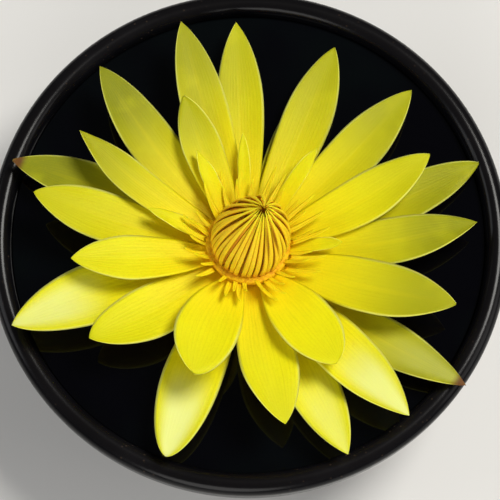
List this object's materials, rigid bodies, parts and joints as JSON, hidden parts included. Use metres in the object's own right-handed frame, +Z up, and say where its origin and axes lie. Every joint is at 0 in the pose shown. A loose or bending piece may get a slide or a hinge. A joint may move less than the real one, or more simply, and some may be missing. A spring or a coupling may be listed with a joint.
{
  "type": "water lily flower",
  "caption": "Open lemon-yellow water lily with pointed petals round a cone of orange stamens, floating on dark water in a round black bowl.",
  "frame": {"origin": "centre of the bowl's flat base, on the surface it stands on", "axes": "+Z up through the bowl; +Y is away from the viewer, the way the flower leans back; +X is the viewer's right"},
  "size_m": [0.1664, 0.1664, 0.0893],
  "materials": {
    "black_glaze": "glossy black glaze on stoneware",
    "dark_water": "still dark water, mirror smooth",
    "petal_yellow": "lemon-yellow petal, satin",
    "sepal_yellow_green": "yellow-green sepal, satin",
    "stamen_orange": "orange-yellow stamens, matt",
    "stem_green": "olive-green stem, satin"
  },
  "bodies": {
    "root": {"bowl": "black_glaze", "high_petal_back": "petal_yellow", "high_petal_front": "petal_yellow", "high_petal_right": "petal_yellow", "inner_petal_1": "petal_yellow", "inner_petal_2": "petal_yellow", "inner_petal_3": "petal_yellow", "inner_petal_4": "petal_yellow", "inner_petal_5": "petal_yellow", "low_petal_back": "petal_yellow", "low_petal_front": "petal_yellow", "low_petal_left": "petal_yellow", "low_petal_right": "petal_yellow", "receptacle_and_stem": "stem_green", "second_petal_1": "petal_yellow", "second_petal_2": "petal_yellow", "second_petal_3": "petal_yellow", "second_petal_4": "petal_yellow", "second_petal_5": "petal_yellow", "second_petal_6": "petal_yellow", "second_petal_7": "petal_yellow", "sepal_back": "sepal_yellow_green", "sepal_front": "sepal_yellow_green", "sepal_left": "sepal_yellow_green", "sepal_right": "sepal_yellow_green", "stamens_inner": "stamen_orange", "stamens_middle": "stamen_orange", "stamens_outer": "stamen_orange", "third_petal_1": "petal_yellow", "third_petal_2": "petal_yellow", "third_petal_3": "petal_yellow", "third_petal_4": "petal_yellow", "third_petal_5": "petal_yellow", "third_petal_6": "petal_yellow", "water": "dark_water"}
  },
  "joints": []
}
